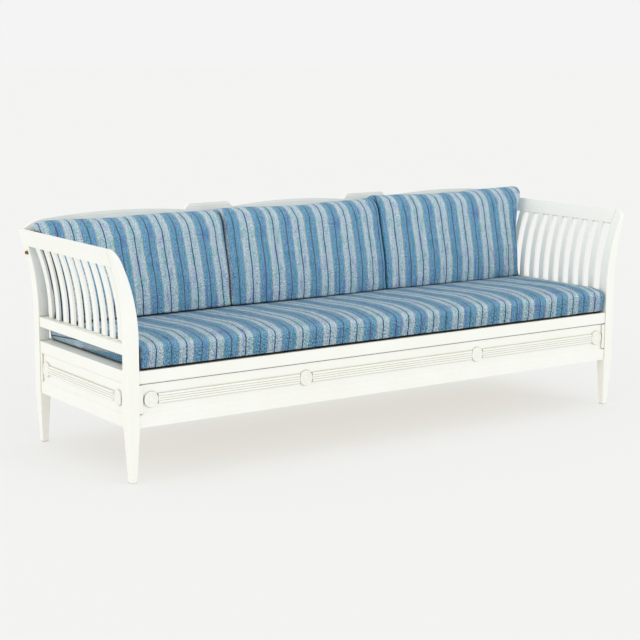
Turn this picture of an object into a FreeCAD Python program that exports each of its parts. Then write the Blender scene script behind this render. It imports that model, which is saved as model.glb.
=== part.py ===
import FreeCAD, Part
import math
import os

# Swedish pull-out bench bed: flared slatted arms, a crested back, a front that draws out on
# interleaved bed slats, and loose cushions. Millimetres, front towards -Y, Z up.
# The origin lies on the floor under the middle of the bench.

Vec = FreeCAD.Vector

# Overall sizes
seat_length = 2050.0
bench_depth = 684.0
seat_height = 355.0
arm_rise = 382.0
apron_depth = 179.0

# Clearances, and what the cuts and curves are reckoned with
running_gap = 0.3
side_gap = 0.7
pin_gap = 0.08
overrun = 50.0
angle_tolerance = 0.01
quarter_turn = 90
full_turn = 360

# Posts, with the curves of their inner and outer faces
post_width = 38.0
post_depth = 40.0
foot_width = 21.0
edge_round = 1.5
shoulder_radius = 37.0
inner_flare_rise = 12.0
inner_flare_radius = 594.0
outer_flare_rise = 27.0
outer_flare_radius = 760.0

# Arm rails and slats
arm_rail_depth = 48.0
lower_rail_gap = 49.0
lower_rail_depth = 34.0
board_thickness = 22.0
board_inset = 3.0
lower_rail_thickness = 30.0
slat_count = 10
slat_width = 25.0
slat_thickness = 9.0
slat_recess = 22.0
slat_flare_radius = 665.0
slat_front_gap_share = 1.42
slat_rear_gap_share = 1.15
slat_round = 1.2

# Apron field, its moulding and its ornament
field_below = 38.0
field_above = 37.0
field_recess = 6.0
moulding_width = 7.0
ovolo_depth = 1.8
shadow_groove_width = 3.0
shadow_groove_depth = 5.0
field_end = 12.0
ornament_drop = 3.0
reed_count = 4
reed_width = 7.5
reed_rise = 2.3
reed_base = 6.0
rosette_radius = 24.5
rosette_plate = 6.4
rosette_ring_radius = 11.0
rosette_ring_width = 4.0
rosette_ring_rise = 1.4
rosette_rim_width = 6.0
rosette_rim_rise = 2.4
rosette_button_radius = 6.5
rosette_button_rise = 2.4
rosette_end_distance = 42.0
front_rosette_place = 366.0

# Back of the bench
back_board_thickness = 22.0
back_board_setback = 2.0
back_slat_thickness = 10.0
upright_place = 345.0
upright_width = 50.0
crest_depth = 47.0
crest_rise = 30.0
crest_arch_rise = 14.0
tablet_rise = 20.0
tablet_half_width = 80.0
tablet_shoulder = 18.0
crest_end_rise = 29.0
crest_end_inset = 66.0
crest_sweep_sag = 5.0
crest_step = 12.0
crest_step_depth = 2.0

# Bed base: fixed slats, sliding slats and what they run on
fixed_slat_count = 20
bed_slat_gap = 8.0
bed_slat_thickness = 19.0
stretcher_depth = 35.0
stretcher_inset = 31.0
batten_width = 30.0
batten_depth = 22.0
batten_inset = 46.0
runner_lip = 5.0
runner_depth = 22.0
runner_setback = 13.0
pull_rail_width = 20.0
pull_rail_depth = 30.0
pull_rail_inset = 7.0
pull_rail_drop = 9.0
pull_rail_end_gap = 17.0

# Folding support legs of the sliding front
leg_thickness = 22.0
leg_width = 28.0
leg_place = 700.0
leg_drop = 38.0
leg_floor_gap = 1.0
bolt_radius = 5.0
bolt_head_radius = 9.0
bolt_head_height = 4.0
bolt_depth = 12.0

# Cap nuts on the rear posts
cap_drop = 80.0
cap_radius = 6.5
cap_collar = 3.0
cap_dome = 6.5

# Seat cushion
cushion_end_gap = 3.0
seat_cushion_front = 90.0
seat_cushion_back = 68.0
seat_cushion_inset = 0.5
seat_cushion_crown = 12.0
seat_cushion_bulge = 4.0
seat_cushion_rear_gap = 6.0
seat_corner_radius = 20.0
seat_end_round = 14.0

# Back cushions
back_cushion_width = 682.0
back_cushion_shift = -21.0
back_cushion_gap = 2.0
back_cushion_rise = 42.0
back_cushion_top_fall = 9.0
back_cushion_head_depth = 126.0
back_cushion_foot_depth = 140.0
back_cushion_lean = 42.0
back_cushion_end_gap = 5.0
right_cushion_slack = 8.0
left_cushion_spread = 80.0
right_cushion_spread = 60.0
back_cushion_bulge = 16.0
back_cushion_rear_bulge = 4.0
back_cushion_round = 26.0
back_cushion_corner = 22.0
back_cushion_waist = 7.0

# Shares of a curve's rise at its middle, and of a cushion's length at its sections
diagonal_share = math.sqrt(0.5)
end_shares = (0, 0.05, 0.18, 0.4, 0.7, 1)
seat_body_shares = (0.06, 0.16, 0.32, 0.6)
back_body_shares = (0.15, 0.25, 0.38, 0.5, 0.62, 0.75, 0.85)
seat_fullness_power = 6
back_fullness_power = 4

# Places that follow from the sizes above
half_length = seat_length / 2
half_depth = bench_depth / 2
arm_height = seat_height + arm_rise
apron_bottom = seat_height - apron_depth
arm_rail_bottom = arm_height - arm_rail_depth
lower_rail_bottom = seat_height + lower_rail_gap
lower_rail_top = lower_rail_bottom + lower_rail_depth
inner_flare_start = lower_rail_top + inner_flare_rise
outer_flare_start = lower_rail_top + outer_flare_rise
inner_half = half_length - post_width
post_inner_y = half_depth - post_depth
board_outer = half_length - board_inset
board_inner = board_outer - board_thickness
front_face = -(half_depth - board_inset)
front_back = front_face + board_thickness
rear_face = half_depth - board_inset
rear_front = rear_face - board_thickness
field_bottom = apron_bottom + field_below
field_top = seat_height - field_above
field_low = field_bottom + moulding_width
field_high = field_top - moulding_width
ornament_height = (field_bottom + field_top) / 2 - ornament_drop
back_rear = half_depth - back_board_setback
back_front = back_rear - back_board_thickness
crest_bottom = arm_height - crest_depth
crest_valley = arm_height + crest_rise
front_half = inner_half - side_gap
slat_level = seat_height - bed_slat_thickness
bed_slat_pitch = 2 * board_inner / fixed_slat_count
bed_slat_width = bed_slat_pitch / 2 - bed_slat_gap
stretcher_front = front_back + stretcher_inset
stretcher_back = stretcher_front + board_thickness
stretcher_top = slat_level - running_gap
batten_back = rear_front - batten_inset
batten_front = batten_back - batten_width
pull_rail_top = stretcher_top - stretcher_depth - pull_rail_drop
runner_top = pull_rail_top - pull_rail_depth - running_gap
pull_rail_outer = inner_half - pull_rail_inset
leg_pivot_height = slat_level - leg_drop
cap_height = arm_height - cap_drop
seat_cushion_half = inner_half - cushion_end_gap
seat_base = seat_height + running_gap
seat_front_y = -half_depth + seat_cushion_inset + seat_cushion_bulge
seat_back_y = back_front - seat_cushion_rear_gap
crown_chord = seat_back_y - seat_front_y - 2 * seat_corner_radius
head_back_y = back_front - running_gap - back_cushion_rear_bulge
head_front_y = head_back_y - back_cushion_head_depth
foot_back_y = head_back_y - back_cushion_lean
foot_front_y = foot_back_y - back_cushion_foot_depth
back_cushion_top = arm_height + back_cushion_rise
cushion_foot_reach = inner_half - back_cushion_end_gap
middle_left = back_cushion_shift - back_cushion_width / 2
middle_right = back_cushion_shift + back_cushion_width / 2


def box(x0, x1, y0, y1, z0, z1):
    """A block between two corners."""
    return Part.makeBox(x1 - x0, y1 - y0, z1 - z0, Vec(x0, y0, z0))


def line(a, b):
    return Part.LineSegment(a, b).toShape()


def arc(a, through, b):
    return Part.Arc(a, through, b).toShape()


def extrude(edges, direction):
    """A solid from one closed outline."""
    return Part.Face(Part.Wire(edges)).extrude(direction)


def polygon(points):
    """Closed loop of straight edges."""
    return [line(points[i - 1], points[i]) for i in range(len(points))]


def mirrored(shape):
    """The same piece for the other end of the bench."""
    return shape.mirror(Vec(0, 0, 0), Vec(1, 0, 0))


def round_edges(solid, radius, keep):
    """Rounds the edges that keep picks out."""
    return solid.makeFillet(radius, [edge for edge in solid.Edges if keep(edge)])


def runs_along(edge, axis):
    """True for a straight edge along one axis."""
    if not isinstance(edge.Curve, Part.Line):
        return False
    return edge.Curve.Direction.cross(axis).Length < angle_tolerance


def save(name, shape):
    shape.exportStep("parts/" + name + ".step")
    bounds = shape.BoundBox
    size = [round(length) for length in (bounds.XLength, bounds.YLength, bounds.ZLength)]
    print(name, len(shape.Solids), "solid(s),", "valid" if shape.isValid() else "NOT VALID,", size)


def flare(height, start, radius):
    """How far a face that starts to curve at one height has leaned out at another."""
    rise = max(height - start, 0)
    return radius - math.sqrt(radius ** 2 - rise ** 2)


def inner_face(height):
    return inner_half + flare(height, inner_flare_start, inner_flare_radius)


def outer_face(height):
    return half_length + flare(height, outer_flare_start, outer_flare_radius)


def arm_blank(low, y0, y1):
    """The right arm's section between its two curves, from one height to past its top."""
    high = arm_height + post_width
    inner_mid = (inner_flare_start + high) / 2
    outer_mid = (outer_flare_start + high) / 2

    def inner(height):
        return Vec(inner_face(height), y0, height)

    def outer(height):
        return Vec(outer_face(height), y0, height)

    edges = [
        line(inner(low), outer(low)),
        line(outer(low), outer(outer_flare_start)),
        arc(outer(outer_flare_start), outer(outer_mid), outer(high)),
        line(outer(high), inner(high)),
        arc(inner(high), inner(inner_mid), inner(inner_flare_start)),
        line(inner(inner_flare_start), inner(low)),
    ]
    return extrude(edges, Vec(0, y1 - y0, 0))


def above_square_cut(height):
    """Everything above a cut square across the arm, through its inner face at a height."""
    tilt = math.asin((height - inner_flare_start) / inner_flare_radius)
    across = Vec(math.cos(tilt), 0, -math.sin(tilt))
    up = Vec(math.sin(tilt), 0, math.cos(tilt))
    start = Vec(inner_face(height), -bench_depth, height)
    reach = post_width + overrun
    points = [start - across * reach, start + across * reach]
    points += [points[1] + up * 2 * reach, points[0] + up * 2 * reach]
    return extrude(polygon(points), Vec(0, 2 * bench_depth, 0))


def rounded_rectangle(x, y, width, depth, radius, z):
    """A level outline with rounded corners round a centre."""
    a, b = width / 2, depth / 2
    bend = radius * (1 - diagonal_share)
    turns = ((1, 1), (-1, 1), (-1, -1), (1, -1))
    points = []
    for sx, sy in turns:
        side = Vec(x + sx * a, y + sy * (b - radius), z)
        middle = Vec(x + sx * (a - bend), y + sy * (b - bend), z)
        end = Vec(x + sx * (a - radius), y + sy * b, z)
        points.append((side, middle, end) if sx == sy else (end, middle, side))
    edges = []
    for i, (first, middle, last) in enumerate(points):
        edges.append(arc(first, middle, last))
        edges.append(line(last, points[(i + 1) % len(points)][0]))
    return Part.Wire(edges)


def right_post(front):
    """One post: a tapered leg below the aprons and a flared head above the seat."""
    y0 = -half_depth if front else post_inner_y
    y1 = y0 + post_depth
    upper = arm_blank(apron_bottom, y0, y1).cut(above_square_cut(arm_height))
    if front:
        shoulder = box(0, seat_length, y0 - overrun, y0 + shoulder_radius,
                       arm_height - shoulder_radius, arm_height + overrun)
        drum = Part.makeCylinder(shoulder_radius, seat_length,
                                 Vec(0, y0 + shoulder_radius, arm_height - shoulder_radius), Vec(1, 0, 0))
        upper = upper.cut(shoulder.cut(drum))
    upper = round_edges(upper, edge_round, lambda edge: edge.BoundBox.ZMax > apron_bottom + edge_round)
    x = half_length - post_width / 2
    y = (y0 + y1) / 2
    top = rounded_rectangle(x, y, post_width, post_depth, edge_round, apron_bottom)
    foot = rounded_rectangle(x, y, foot_width, foot_width, edge_round, 0)
    leg = Part.makeLoft([foot, top], True, True)
    return upper.fuse(leg).removeSplitter()


def right_arm_top_rail():
    """The flared top rail between the posts, cut square to the curve at both edges."""
    rail = arm_blank(apron_bottom, -post_inner_y, post_inner_y)
    rail = rail.common(above_square_cut(arm_rail_bottom)).cut(above_square_cut(arm_height))
    upper_edge = arm_height - slat_thickness
    return round_edges(rail, edge_round, lambda edge: runs_along(edge, Vec(0, 1, 0))
                       and edge.BoundBox.ZMin > upper_edge)


def right_arm_lower_rail():
    rail = box(board_outer - lower_rail_thickness, board_outer, -post_inner_y, post_inner_y,
               lower_rail_bottom, lower_rail_top)
    return round_edges(rail, edge_round, lambda edge: runs_along(edge, Vec(0, 1, 0)))


def right_arm_slat(index):
    """One bent slat that stands on the lower rail and ends under the top rail.

    The gaps at the two posts are wider than those between the slats."""
    clear = 2 * post_inner_y - slat_count * slat_width
    gap = clear / (slat_count - 1 + slat_front_gap_share + slat_rear_gap_share)
    y0 = -post_inner_y + slat_front_gap_share * gap + index * (slat_width + gap)
    foot_x = half_length - slat_recess
    centre = Vec(foot_x + slat_flare_radius, y0, inner_flare_start)
    high = arm_rail_bottom + overrun

    def on_curve(radius, height):
        rise = height - inner_flare_start
        return centre + Vec(-math.sqrt(radius ** 2 - rise ** 2), 0, rise)

    outer_radius = slat_flare_radius
    inner_radius = slat_flare_radius + slat_thickness
    middle = (inner_flare_start + high) / 2
    outer_foot = Vec(foot_x, y0, lower_rail_top)
    inner_foot = Vec(foot_x - slat_thickness, y0, lower_rail_top)
    edges = [
        line(inner_foot, outer_foot),
        line(outer_foot, on_curve(outer_radius, inner_flare_start)),
        arc(on_curve(outer_radius, inner_flare_start), on_curve(outer_radius, middle),
            on_curve(outer_radius, high)),
        line(on_curve(outer_radius, high), on_curve(inner_radius, high)),
        arc(on_curve(inner_radius, high), on_curve(inner_radius, middle),
            on_curve(inner_radius, inner_flare_start)),
        line(on_curve(inner_radius, inner_flare_start), inner_foot),
    ]
    slat = extrude(edges, Vec(0, slat_width, 0)).cut(above_square_cut(arm_rail_bottom))
    return round_edges(slat, slat_round, lambda edge: edge.BoundBox.ZLength > slat_thickness)


def field_cutter(length):
    """What is taken out of a board whose face is the XZ plane, for a sunk field with an ovolo and a bevel."""
    half = length / 2
    points = [
        Vec(-half, -overrun, field_bottom),
        Vec(-half, 0, field_bottom),
        Vec(-half, field_recess, field_low),
        Vec(-half, field_recess, field_high),
        Vec(-half, 0, field_top),
        Vec(-half, -overrun, field_top),
    ]
    edges = [line(points[i], points[i + 1]) for i in (0, 1, 2)]
    through = Vec(-half, ovolo_depth, field_high + moulding_width / 2)
    edges += [arc(points[3], through, points[4]), line(points[4], points[5]), line(points[5], points[0])]
    return extrude(edges, Vec(length, 0, 0))


def turned_to_side(shape):
    """Turns a piece made for the front so that it faces the right end."""
    turned = shape.copy()
    turned.rotate(Vec(0, 0, 0), Vec(0, 0, 1), quarter_turn)
    turned.translate(Vec(board_outer, 0, 0))
    return turned


def right_side_apron():
    """The board between two posts, with the same sunk field as the front."""
    board = box(board_inner, board_outer, -post_inner_y, post_inner_y, apron_bottom, seat_height)
    length = 2 * (post_inner_y - field_end)
    return board.cut(turned_to_side(field_cutter(length)))


def reeding(length):
    """A strip of small half-round reeds, whose back lies on the XZ plane and which runs along X."""
    half = length / 2
    low = ornament_height - reed_count * reed_width / 2
    high = ornament_height + reed_count * reed_width / 2
    edges = [
        line(Vec(-half, 0, high), Vec(-half, 0, low)),
        line(Vec(-half, 0, low), Vec(-half, -reed_base, low)),
    ]
    for i in range(reed_count):
        z = low + i * reed_width
        edges.append(arc(Vec(-half, -reed_base, z), Vec(-half, -reed_base - reed_rise, z + reed_width / 2),
                         Vec(-half, -reed_base, z + reed_width)))
    edges.append(line(Vec(-half, -reed_base, high), Vec(-half, 0, high)))
    return extrude(edges, Vec(length, 0, 0))


def rosette():
    """A turned disc with a rim, a ring and a button; its back lies on the XZ plane."""
    rim = rosette_rim_width / 2
    ring = rosette_ring_width / 2
    ring_in = rosette_ring_radius - ring
    ring_out = rosette_ring_radius + ring
    rim_in = rosette_radius - rosette_rim_width
    button_top = rosette_plate + rosette_button_rise
    button_sphere = (rosette_button_radius ** 2 / rosette_button_rise + rosette_button_rise) / 2
    button_middle = rosette_button_radius / 2
    button_drop = button_sphere - math.sqrt(button_sphere ** 2 - button_middle ** 2)

    def at(radius, height):
        return Vec(radius, -height, 0)

    edges = [
        line(at(0, 0), at(rosette_radius, 0)),
        line(at(rosette_radius, 0), at(rosette_radius, rosette_plate)),
        arc(at(rosette_radius, rosette_plate), at(rosette_radius - rim, rosette_plate + rosette_rim_rise),
            at(rim_in, rosette_plate)),
        line(at(rim_in, rosette_plate), at(ring_out, rosette_plate)),
        arc(at(ring_out, rosette_plate), at(rosette_ring_radius, rosette_plate + rosette_ring_rise),
            at(ring_in, rosette_plate)),
        line(at(ring_in, rosette_plate), at(rosette_button_radius, rosette_plate)),
        arc(at(rosette_button_radius, rosette_plate), at(button_middle, button_top - button_drop),
            at(0, button_top)),
        line(at(0, button_top), at(0, 0)),
    ]
    disc = Part.Face(Part.Wire(edges)).revolve(Vec(0, 0, 0), Vec(0, 1, 0), full_turn)
    disc.translate(Vec(0, 0, ornament_height))
    return disc


def moved(shape, x, y, z):
    copy = shape.copy()
    copy.translate(Vec(x, y, z))
    return copy


def front_top_rail():
    """The moulded rail over the panel, with a narrow groove along its foot that shows as a dark line."""
    rail = box(-front_half, front_half, front_face, front_back, field_high, seat_height)
    groove = box(-seat_length, seat_length, front_face - overrun,
                 front_face + field_recess + shadow_groove_depth,
                 field_high - overrun, field_high + shadow_groove_width)
    return rail.cut(moved(field_cutter(seat_length), 0, front_face, 0)).cut(groove)


def front_bottom_rail():
    rail = box(-front_half, front_half, front_face, front_back, apron_bottom, field_low)
    return rail.cut(moved(field_cutter(seat_length), 0, front_face, 0))


def front_panel():
    """The sunk board between the two rails, with a raised strip at each end and blind bolt holes behind."""
    panel = box(-front_half, front_half, front_face, front_back, field_low, field_high)
    field_half = front_half - field_end
    panel = panel.cut(box(-field_half, field_half, front_face - overrun, front_face + field_recess,
                          field_low - overrun, field_high + overrun))
    for side in (-1, 1):
        start = Vec(side * leg_place, front_back - bolt_depth, leg_pivot_height)
        panel = panel.cut(Part.makeCylinder(bolt_radius + pin_gap, bolt_depth + overrun, start, Vec(0, 1, 0)))
    return panel


def front_rosette_places():
    outer = inner_half - rosette_end_distance
    return (-outer, -front_rosette_place, front_rosette_place, outer)


def front_rosettes():
    y = front_face + field_recess
    return Part.makeCompound([moved(rosette(), x, y, 0) for x in front_rosette_places()])


def front_reeding():
    """Three reeded strips between the four rosettes."""
    places = front_rosette_places()
    y = front_face + field_recess
    strips = []
    for left, right in zip(places, places[1:]):
        length = right - left - 2 * rosette_radius
        strips.append(moved(reeding(length), (left + right) / 2, y, 0))
    return Part.makeCompound(strips)


def side_rosettes():
    """Two rosettes on each side apron."""
    y = post_inner_y - rosette_end_distance
    right = [turned_to_side(moved(rosette(), x, field_recess, 0)) for x in (-y, y)]
    return Part.makeCompound(right + [mirrored(disc) for disc in right])


def side_reeding():
    """One reeded strip on each side apron."""
    length = 2 * (post_inner_y - rosette_end_distance - rosette_radius)
    right = turned_to_side(moved(reeding(length), 0, field_recess, 0))
    return Part.makeCompound([right, mirrored(right)])


def rear_seat_rail():
    return box(-inner_half, inner_half, rear_front, rear_face, apron_bottom, seat_height)


def back_lower_rail():
    rail = box(-inner_half, inner_half, back_front, back_rear, lower_rail_bottom, lower_rail_top)
    return round_edges(rail, edge_round, lambda edge: runs_along(edge, Vec(1, 0, 0)))


def right_back_upright():
    a = upright_place - upright_width / 2
    upright = box(a, a + upright_width, back_front, back_rear, lower_rail_top, crest_bottom)
    return round_edges(upright, edge_round, lambda edge: runs_along(edge, Vec(0, 0, 1)))


def back_slats():
    """Upright slats in the three bays of the back."""
    y0 = (back_front + back_rear - back_slat_thickness) / 2
    inner = upright_place - upright_width / 2
    outer = upright_place + upright_width / 2
    slats = []
    for left, right in ((-inner_half, -outer), (-inner, inner), (outer, inner_half)):
        gap = (right - left - slat_count * slat_width) / (slat_count + 1)
        for i in range(slat_count):
            x = left + (i + 1) * gap + i * slat_width
            slat = box(x, x + slat_width, y0, y0 + back_slat_thickness, lower_rail_top, crest_bottom)
            slats.append(round_edges(slat, slat_round, lambda edge: runs_along(edge, Vec(0, 0, 1))))
    return Part.makeCompound(slats)


def crest_outline(y, drop):
    """The crest's outline: a low arch, a raised tablet, a long arch and a swept end, on each half."""
    end_x = inner_face(arm_height)
    bottom_x = inner_face(crest_bottom)
    tablet_in = upright_place - tablet_half_width
    tablet_out = upright_place + tablet_half_width
    sweep_x = end_x - crest_end_inset
    tablet_top = crest_valley + tablet_rise
    arch_top = crest_valley + crest_arch_rise
    end_height = arm_height + crest_end_rise
    sweep_middle = (end_height + arm_height) / 2 + crest_sweep_sag

    def half_outline(side):
        def at(x, z):
            return Vec(side * x, y, z - drop)

        inner_foot = tablet_in - tablet_shoulder
        outer_foot = tablet_out + tablet_shoulder
        long_middle = (outer_foot + sweep_x) / 2
        quarter_rise = crest_arch_rise * (1 - 1 / 4)
        return [
            arc(at(0, arch_top), at(inner_foot / 2, crest_valley + quarter_rise),
                at(inner_foot, crest_valley)),
            line(at(inner_foot, crest_valley), at(tablet_in, tablet_top)),
            line(at(tablet_in, tablet_top), at(tablet_out, tablet_top)),
            line(at(tablet_out, tablet_top), at(outer_foot, crest_valley)),
            arc(at(outer_foot, crest_valley), at(long_middle, arch_top), at(sweep_x, end_height)),
            arc(at(sweep_x, end_height), at((sweep_x + end_x) / 2, sweep_middle), at(end_x, arm_height)),
            line(at(end_x, arm_height), Vec(side * bottom_x, y, crest_bottom)),
        ]

    edges = half_outline(1) + half_outline(-1)
    edges.append(line(Vec(bottom_x, y, crest_bottom), Vec(-bottom_x, y, crest_bottom)))
    return Part.Wire(Part.__sortEdges__(edges))


def crest_rail():
    """The top of the back, with a stepped edge along its outline, fitted between the rear posts."""
    step = Part.Face(crest_outline(back_front, crest_step)).extrude(Vec(0, crest_step_depth, 0))
    depth = back_board_thickness - crest_step_depth
    board = Part.Face(crest_outline(back_front + crest_step_depth, 0)).extrude(Vec(0, depth, 0))
    crest = board.fuse(step)
    post = arm_blank(apron_bottom, post_inner_y, half_depth).cut(above_square_cut(arm_height))
    return crest.cut(post).cut(mirrored(post)).removeSplitter()


def front_stretcher():
    """The fixed rail behind the sliding front, under the front ends of the bed slats."""
    return box(-board_inner, board_inner, stretcher_front, stretcher_back,
               stretcher_top - stretcher_depth, stretcher_top)


def bed_slat_places(count):
    """Middles of a row of bed slats, spread evenly about the middle of the bench."""
    return [(i - (count - 1) / 2) * bed_slat_pitch for i in range(count)]


def fixed_bed_slats():
    """Slats that stay in the bench, each between two sliding ones."""
    slats = []
    for x in bed_slat_places(fixed_slat_count):
        slats.append(box(x - bed_slat_width / 2, x + bed_slat_width / 2, stretcher_front, rear_front,
                         slat_level + running_gap, seat_height))
    return Part.makeCompound(slats)


def sliding_bed_slats():
    """Slats that are fixed to the pull-out front and draw out with it."""
    slats = []
    for x in bed_slat_places(fixed_slat_count - 1):
        slats.append(box(x - bed_slat_width / 2, x + bed_slat_width / 2, front_back, batten_back,
                         slat_level, seat_height))
    return Part.makeCompound(slats)


def slat_batten():
    """The batten under the rear ends of the sliding slats, which stops against the stretcher."""
    half = bed_slat_places(fixed_slat_count - 1)[-1] + bed_slat_width / 2
    return box(-half, half, batten_front, batten_back, slat_level - batten_depth, slat_level)


def seat_ledges():
    """A board inside each side apron that fills the bed base out to the end slats."""
    end_slat = bed_slat_places(fixed_slat_count)[-1] + bed_slat_width / 2
    right = box(end_slat + side_gap, board_inner, -post_inner_y, post_inner_y, slat_level, seat_height)
    return Part.makeCompound([mirrored(right), right])


def drawer_runners():
    """A wooden runner on each side apron, under the pull rails."""
    x0 = pull_rail_outer - pull_rail_width - runner_lip
    right = box(x0, board_inner, runner_setback - post_inner_y, post_inner_y,
                runner_top - runner_depth, runner_top)
    return Part.makeCompound([mirrored(right), right])


def right_pull_rail():
    return box(pull_rail_outer - pull_rail_width, pull_rail_outer, front_back, rear_front - pull_rail_end_gap,
               pull_rail_top - pull_rail_depth, pull_rail_top)


def left_support_leg():
    """A leg that lies behind the front and swings down round its bolt."""
    y0 = front_back + running_gap
    length = leg_pivot_height - leg_floor_gap
    half = leg_width / 2
    leg = box(-leg_place, -leg_place + length, y0, y0 + leg_thickness,
              leg_pivot_height - half, leg_pivot_height + half)
    pivot = Vec(-leg_place, y0, leg_pivot_height)
    leg = leg.fuse(Part.makeCylinder(half, leg_thickness, pivot, Vec(0, 1, 0))).removeSplitter()
    hole_start = pivot - Vec(0, overrun, 0)
    hole = Part.makeCylinder(bolt_radius + pin_gap, leg_thickness + 2 * overrun, hole_start, Vec(0, 1, 0))
    return leg.cut(hole)


def leg_pivot_bolts():
    """A bolt with a round head through each support leg, into the panel."""
    bolts = []
    head_y = front_back + leg_thickness + 2 * running_gap
    for side in (-1, 1):
        start = Vec(side * leg_place, front_back - bolt_depth, leg_pivot_height)
        shank = Part.makeCylinder(bolt_radius, head_y - start.y, start, Vec(0, 1, 0))
        head = Part.makeCylinder(bolt_head_radius, bolt_head_height,
                                 Vec(side * leg_place, head_y, leg_pivot_height), Vec(0, 1, 0))
        bolts.append(shank.fuse(head).removeSplitter())
    return Part.makeCompound(bolts)


def bolt_caps():
    """A small domed nut on the outer face of each rear post."""
    edges = [
        line(Vec(0, 0, 0), Vec(cap_radius, 0, 0)),
        line(Vec(cap_radius, 0, 0), Vec(cap_radius, 0, cap_collar)),
        arc(Vec(cap_radius, 0, cap_collar),
            Vec(cap_radius * diagonal_share, 0, cap_collar + cap_dome * diagonal_share),
            Vec(0, 0, cap_collar + cap_dome)),
        line(Vec(0, 0, cap_collar + cap_dome), Vec(0, 0, 0)),
    ]
    nut = Part.Face(Part.Wire(edges)).revolve(Vec(0, 0, 0), Vec(0, 0, 1), full_turn)
    lean = math.degrees(math.asin((cap_height - outer_flare_start) / outer_flare_radius))
    nut.rotate(Vec(0, 0, 0), Vec(0, 1, 0), quarter_turn + lean)
    nut.translate(Vec(outer_face(cap_height) + pin_gap, half_depth - post_depth / 2, cap_height))
    return Part.makeCompound([mirrored(nut), nut])


def soft_ring(corners, bulges, radius):
    """A closed outline through four corners with bowed sides and rounded corners.

    Each side bows out by its bulge, away from the middle of the four corners."""
    count = len(corners)
    middle = sum(corners, Vec(0, 0, 0)) / count
    bend = radius * (1 - diagonal_share)
    starts, ends, turns = [], [], []
    for i in range(count):
        here = corners[i]
        back = (corners[i - 1] - here).normalize()
        ahead = (corners[(i + 1) % count] - here).normalize()
        starts.append(here + ahead * radius)
        ends.append(here + back * radius)
        turns.append(here + (ahead + back) * bend)
    edges = []
    for i in range(count):
        a, b = starts[i], ends[(i + 1) % count]
        centre = (a + b) / 2
        along = (b - a).normalize()
        out = centre - middle
        out = (out - along * out.dot(along)).normalize()
        edges.append(arc(a, centre + out * bulges[i], b) if bulges[i] else line(a, b))
        edges.append(arc(b, turns[(i + 1) % count], starts[(i + 1) % count]))
    return Part.Wire(edges)


def shrunk(corners, inset):
    """The four corners of a ring, each side moved in by the inset."""
    count = len(corners)
    result = []
    for i in range(count):
        here = corners[i]
        back = (corners[i - 1] - here).normalize()
        ahead = (corners[(i + 1) % count] - here).normalize()
        result.append(here + (ahead + back) * inset)
    return result


def round_inset(distance, radius):
    """How far a rounded edge has drawn in at a distance from the end of a cushion."""
    rest = max(radius - distance, 0)
    return radius - math.sqrt(radius ** 2 - rest ** 2)


def seat_cushion():
    """One long cushion, lower at the back where the back cushions press on it."""
    corners = [
        Vec(0, seat_front_y, seat_base),
        Vec(0, seat_back_y, seat_base),
        Vec(0, seat_back_y, seat_height + seat_cushion_back),
        Vec(0, seat_front_y, seat_height + seat_cushion_front),
    ]
    stations = [share * seat_end_round for share in end_shares]
    stations += [share * seat_cushion_half for share in seat_body_shares]
    stations += [seat_cushion_half]
    places = [(-seat_cushion_half + s, s) for s in stations]
    places += [(seat_cushion_half - s, s) for s in reversed(stations[:-1])]
    rings = []
    for x, s in places:
        fullness = 1 - (1 - min(s / seat_cushion_half, 1)) ** seat_fullness_power
        inset = round_inset(s, seat_end_round)
        ring = [corner + Vec(x, 0, 0) for corner in shrunk(corners, inset)]
        lift = Vec(0, 0, inset)
        ring = [ring[0] - lift, ring[1] - lift, ring[2], ring[3]]
        bulge = seat_cushion_bulge * fullness
        crown = seat_cushion_crown * fullness
        rings.append(soft_ring(ring, (0, bulge, crown, bulge), seat_corner_radius))
    return Part.makeLoft(rings, True, True)


def seat_top(y):
    """Height of the seat cushion's crowned top along its middle."""
    low = Vec(0, seat_front_y, seat_height + seat_cushion_front)
    high = Vec(0, seat_back_y, seat_height + seat_cushion_back)
    share = (y - low.y) / (high.y - low.y)
    crown_share = (y - low.y - seat_corner_radius) / crown_chord
    bow = seat_cushion_crown * (1 - (2 * crown_share - 1) ** 2)
    return low.z + (high.z - low.z) * share + bow


def back_cushion(feet, heads):
    """A box cushion that stands on the seat cushion and leans on the back.

    The pairs give its left and right ends at the foot and at the head."""
    span = back_cushion_foot_depth / crown_chord
    clear = running_gap + seat_cushion_crown * span ** 2
    foot_front_z = seat_top(foot_front_y) + clear
    foot_back_z = seat_top(foot_back_y) + clear
    height = back_cushion_top - foot_front_z
    edge_stations = [share * back_cushion_round for share in end_shares]
    stations = edge_stations + [share * height for share in back_body_shares]
    stations += [height - s for s in reversed(edge_stations)]
    rings = []
    for s in stations:
        t = s / height
        fullness = 1 - (2 * t - 1) ** back_fullness_power
        waist = back_cushion_waist * fullness
        left = feet[0] + (heads[0] - feet[0]) * t ** 2 + waist
        right = feet[1] + (heads[1] - feet[1]) * t ** 2 - waist
        front_y = foot_front_y + (head_front_y - foot_front_y) * t
        back_y = foot_back_y + (head_back_y - foot_back_y) * t
        front_z = foot_front_z + (back_cushion_top - foot_front_z) * t
        back_z = foot_back_z + (back_cushion_top - back_cushion_top_fall - foot_back_z) * t
        corners = [Vec(left, front_y, front_z), Vec(right, front_y, front_z),
                   Vec(right, back_y, back_z), Vec(left, back_y, back_z)]
        inset = round_inset(min(s, height - s), back_cushion_round)
        bulge = back_cushion_bulge * fullness
        rings.append(soft_ring(shrunk(corners, inset), (bulge, 0, back_cushion_rear_bulge * fullness, 0),
                               back_cushion_corner))
    return Part.makeLoft(rings, True, True)


def left_back_cushion():
    left = -cushion_foot_reach
    right = middle_left - back_cushion_gap
    return back_cushion((left, right), (left - left_cushion_spread, right))


def middle_back_cushion():
    return back_cushion((middle_left, middle_right), (middle_left, middle_right))


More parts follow.
